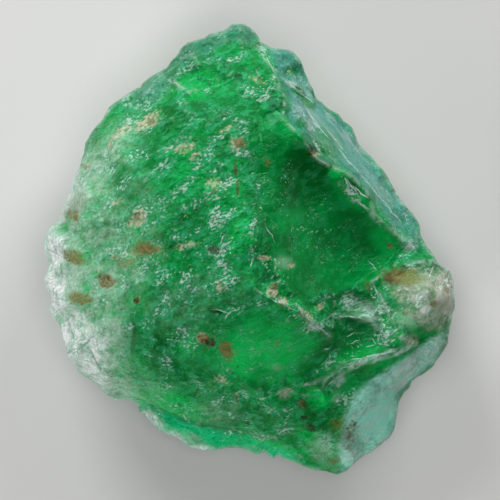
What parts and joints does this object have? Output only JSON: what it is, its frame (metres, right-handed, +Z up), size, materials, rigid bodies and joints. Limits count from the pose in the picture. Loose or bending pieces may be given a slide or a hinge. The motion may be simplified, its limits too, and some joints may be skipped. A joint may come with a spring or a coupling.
{
  "type": "rough emerald",
  "caption": "Uncut emerald: one broken, semi-translucent green stone with a glassy hollow, sharp ridges and a pale crust, resting on a flat back.",
  "frame": {"origin": "middle of the stone's extents, on the surface that it rests on", "axes": "+Z up, away from the surface it rests on and towards its best face; +Y towards the top knob; +X towards the pale knob"},
  "size_m": [0.0254, 0.0279, 0.0135],
  "materials": {
    "emerald": "broken stone, from glassy on the fresh breaks to frosted on the crust"
  },
  "bodies": {
    "root": {"rough_emerald": "emerald"}
  },
  "joints": []
}
